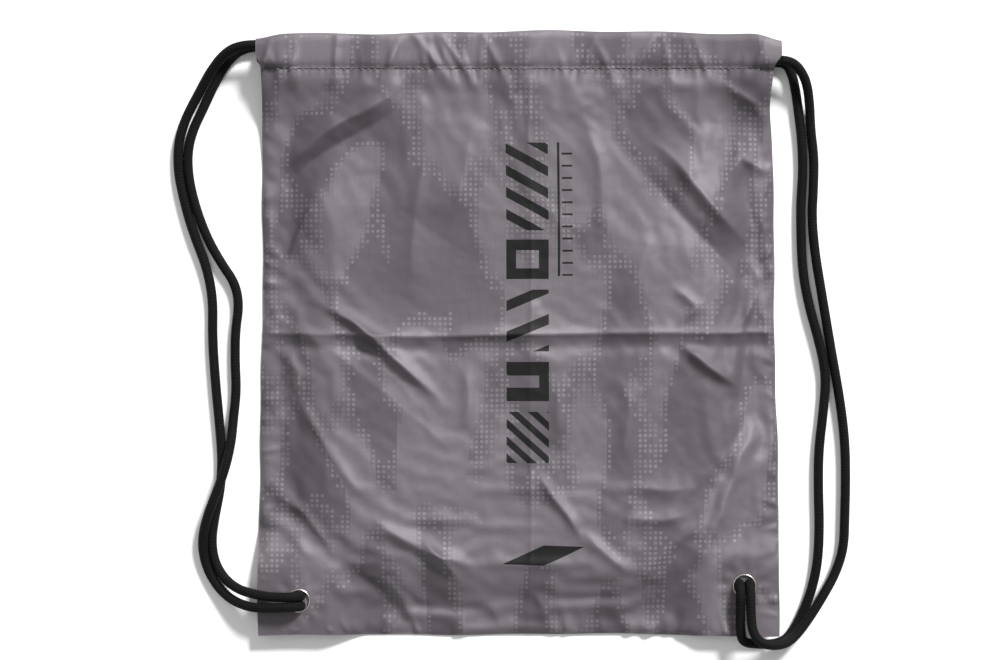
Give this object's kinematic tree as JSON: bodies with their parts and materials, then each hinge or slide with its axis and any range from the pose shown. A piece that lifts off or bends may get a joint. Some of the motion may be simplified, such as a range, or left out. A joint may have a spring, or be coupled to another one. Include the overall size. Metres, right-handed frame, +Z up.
{
  "type": "drawstring shoe bag",
  "caption": "Flat-lying drawstring bag for shoes: two seamed cloth panels with tunnel hems, a drawcord from each side and metal eyelets in the bottom corners.",
  "frame": {"origin": "the middle of the bag's outline, on the surface that the bag lies on", "axes": "+X across the bag to the right of someone looking down at its front with the mouth away from them, +Y along the bag towards the mouth, +Z up, out of the front panel"},
  "size_m": [0.4548, 0.4116, 0.0255],
  "materials": {
    "panel_cloth": "grey woven polyester with a slight satin sheen and a faint tone-on-tone pixel pattern",
    "seam_cloth": "the same cloth, turned in and doubled",
    "thread": "dark grey sewing thread",
    "eyelet_metal": "bright nickel plate",
    "drawcord": "black finely braided round cord"
  },
  "bodies": {
    "bag": {"back_panel": "panel_cloth", "front_panel": "panel_cloth", "back_hem": "panel_cloth", "front_hem": "panel_cloth", "left_side_seam": "seam_cloth", "right_side_seam": "seam_cloth", "bottom_seam": "seam_cloth", "left_corner_patch": "seam_cloth", "right_corner_patch": "seam_cloth", "back_hem_stitching": "thread", "front_hem_stitching": "thread", "left_eyelet": "eyelet_metal", "left_eyelet_washer": "eyelet_metal", "right_eyelet": "eyelet_metal", "right_eyelet_washer": "eyelet_metal", "left_cord_knot": "drawcord", "right_cord_knot": "drawcord"},
    "left_draw": {"left_cord_front_run": "drawcord", "left_cord_back_run": "drawcord", "left_cord_far_bend": "drawcord", "left_cord_front_strand": "drawcord", "left_cord_back_strand": "drawcord"},
    "right_draw": {"right_cord_front_run": "drawcord", "right_cord_back_run": "drawcord", "right_cord_far_bend": "drawcord", "right_cord_front_strand": "drawcord", "right_cord_back_strand": "drawcord"}
  },
  "joints": [
    {"name": "left_cord_draw", "type": "slide", "parent": "bag", "child": "left_draw", "axis": [-1, 0, 0], "range_m": [0, 0.06], "deforming": ["front_hem", "back_hem", "left_cord_front_strand", "left_cord_back_strand"]},
    {"name": "right_cord_draw", "type": "slide", "parent": "bag", "child": "right_draw", "axis": [1, 0, 0], "range_m": [0, 0.06], "deforming": ["front_hem", "back_hem", "right_cord_front_strand", "right_cord_back_strand"]}
  ]
}
